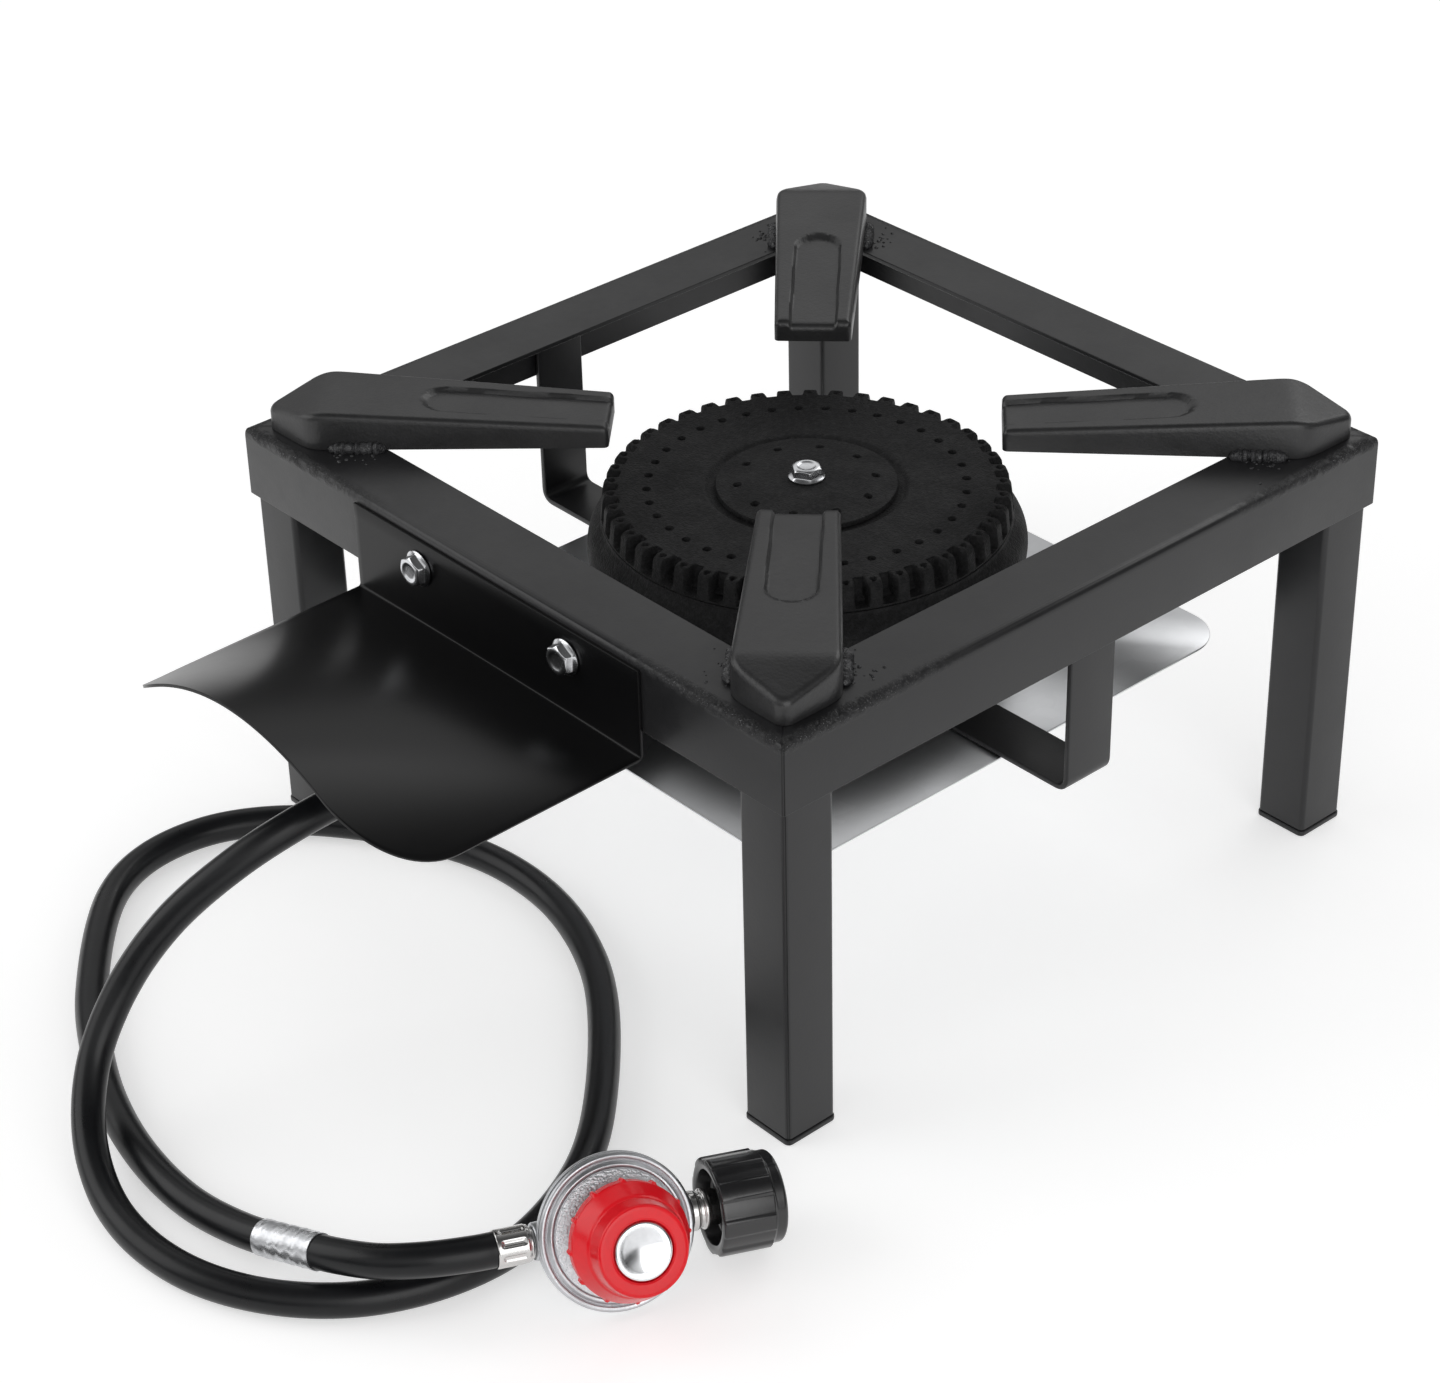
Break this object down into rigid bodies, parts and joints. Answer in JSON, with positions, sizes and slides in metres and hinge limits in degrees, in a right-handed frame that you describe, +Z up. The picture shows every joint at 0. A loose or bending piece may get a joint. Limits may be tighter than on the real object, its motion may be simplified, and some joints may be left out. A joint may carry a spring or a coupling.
{
  "type": "propane burner stand",
  "caption": "Square angle-steel stand with legs and corner pot supports, a cast ring gas burner over a heat shield, and a gas hose ending in an adjustable regulator.",
  "frame": {"origin": "on the floor, at the middle of the box round the stand and its hose guard", "axes": "+Z up, -Y towards the hose guard's free edge, +X to the right for someone who looks along +Y"},
  "size_m": [0.4662, 0.6678, 0.247],
  "materials": {
    "frame_coat": "satin charcoal-black powder coat",
    "support_coat": "satin dark grey coat on cast iron",
    "guard_coat": "semi-gloss black coat on sheet",
    "shield_sheet": "bright galvanised sheet",
    "cast_iron": "rough black cast surface",
    "zinc_plate": "bright zinc plate",
    "brass": "machined",
    "rubber": "satin black",
    "foil": "silver foil band, bare",
    "crimped_steel": "nickel-plated, crimped",
    "die_cast": "grey die-cast, finely grained",
    "spring_steel": "plain",
    "knob_plastic": "glossy red",
    "nut_plastic": "glossy black"
  },
  "bodies": {
    "stand": {"rail_front": "frame_coat", "rail_right": "frame_coat", "rail_back": "frame_coat", "rail_left": "frame_coat", "leg_front_left": "frame_coat", "foot_plate_front_left": "frame_coat", "pot_support_front_left": "support_coat", "leg_front_right": "frame_coat", "foot_plate_front_right": "frame_coat", "pot_support_front_right": "support_coat", "leg_back_right": "frame_coat", "foot_plate_back_right": "frame_coat", "pot_support_back_right": "support_coat", "leg_back_left": "frame_coat", "foot_plate_back_left": "frame_coat", "pot_support_back_left": "support_coat", "burner_strap": "frame_coat", "heat_shield": "shield_sheet", "hose_guard": "guard_coat", "guard_bolt_left": "zinc_plate", "guard_nut_left": "zinc_plate", "guard_bolt_right": "zinc_plate", "guard_nut_right": "zinc_plate", "burner_base": "cast_iron", "burner_deck": "cast_iron", "burner_cap": "cast_iron", "burner_bolt": "zinc_plate", "burner_washer": "zinc_plate", "burner_nut": "zinc_plate", "shutter_screw": "zinc_plate", "gas_fitting": "brass", "hose_swivel_nut": "brass", "ferrule_burner": "crimped_steel", "gas_hose": "rubber", "hose_label": "foil", "ferrule_regulator": "crimped_steel", "regulator_body": "die_cast", "regulator_diaphragm": "rubber", "diaphragm_plate": "spring_steel", "regulator_bonnet": "die_cast", "inlet_nipple": "brass", "nipple_seal": "rubber"},
    "knob_carriage": {"spring_seat": "spring_steel", "pressure_spring": "spring_steel"},
    "knob_assembly": {"knob": "knob_plastic", "knob_cap": "zinc_plate", "adjusting_screw": "brass"},
    "tank_nut_body": {"tank_nut": "nut_plastic"},
    "shutter": {"air_shutter": "zinc_plate"}
  },
  "joints": [
    {"name": "knob_travel", "type": "slide", "parent": "stand", "child": "knob_carriage", "axis": [-0.8407, 0.306, -0.4467], "range_m": [0, 0.0045]},
    {"name": "knob_turn", "type": "hinge", "parent": "knob_carriage", "child": "knob_assembly", "pos_m": [0.2095, -0.2413, 0.0299], "axis": [0.8407, -0.306, 0.4467], "range_deg": [-1080, 0]},
    {"name": "tank_nut_spin", "type": "hinge", "parent": "stand", "child": "tank_nut_body", "pos_m": [0.2095, -0.2413, 0.0299], "axis": [0.3737, 0.9249, -0.0698], "continuous": true},
    {"name": "air_shutter_turn", "type": "hinge", "parent": "stand", "child": "shutter", "pos_m": [0, -0.116, 0.145], "axis": [0, -1, 0], "range_deg": [0, 50]}
  ],
  "couplings": [
    {"joint": "knob_travel", "follows": "knob_turn", "m_per_rad": -0.00023873}
  ]
}
